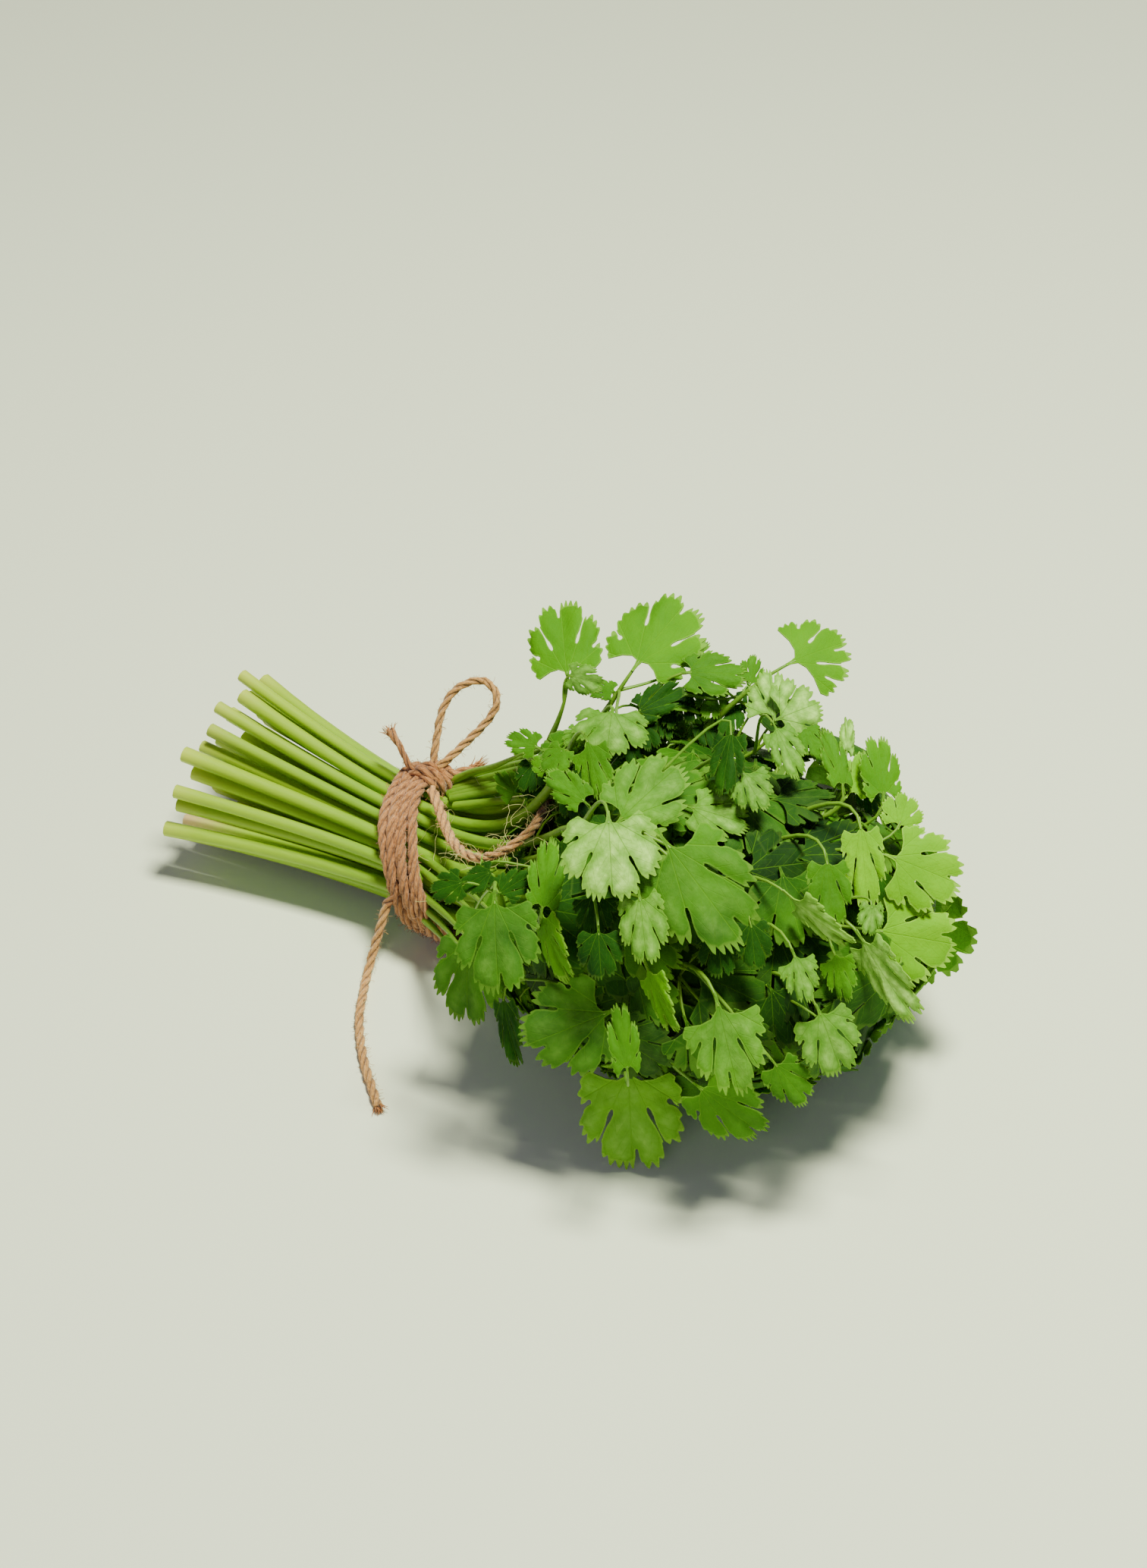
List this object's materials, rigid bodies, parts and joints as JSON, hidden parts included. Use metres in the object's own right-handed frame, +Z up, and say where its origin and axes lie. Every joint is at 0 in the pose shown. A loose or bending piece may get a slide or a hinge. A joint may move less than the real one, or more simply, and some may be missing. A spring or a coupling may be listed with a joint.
{
  "type": "tied coriander bunch",
  "caption": "Bunch of fresh coriander lying on its side, cut stems held in jute twine with a bow loop and a long tail, broad toothed leaflets fanned out at the other end.",
  "frame": {"origin": "the flat spot at the lowest point of the twine tie, on the surface the bunch lies on", "axes": "+X along the stems towards the leaves, +Y across the bunch, +Z up"},
  "size_m": [0.2609, 0.162, 0.1174],
  "materials": {
    "coriander": "fresh coriander: satin green leaves and smooth yellow-green stems",
    "jute": "three-ply spun jute, matt and a little hairy"
  },
  "bodies": {
    "root": {"leafy_stem_01": "coriander", "leafy_stem_02": "coriander", "leafy_stem_03": "coriander", "leafy_stem_04": "coriander", "leafy_stem_05": "coriander", "leafy_stem_06": "coriander", "leafy_stem_07": "coriander", "leafy_stem_08": "coriander", "leafy_stem_09": "coriander", "leafy_stem_10": "coriander", "leafy_stem_11": "coriander", "leafy_stem_12": "coriander", "leafy_stem_13": "coriander", "leafy_stem_14": "coriander", "leafy_stem_15": "coriander", "leafy_stem_16": "coriander", "leafy_stem_17": "coriander", "leafy_stem_18": "coriander", "leafy_stem_19": "coriander", "leafy_stem_20": "coriander", "leafy_stem_21": "coriander", "leafy_stem_22": "coriander", "leafy_stem_23": "coriander", "leafy_stem_24": "coriander", "leafy_stem_25": "coriander", "leafy_stem_26": "coriander", "leafy_stem_27": "coriander", "leafy_stem_28": "coriander", "leafy_stem_29": "coriander", "leafy_stem_30": "coriander", "leafy_stem_31": "coriander", "leafy_stem_32": "coriander", "twine_bow_loop": "jute", "twine_front_end": "jute", "twine_tail": "jute", "twine_tie": "jute"}
  },
  "joints": []
}
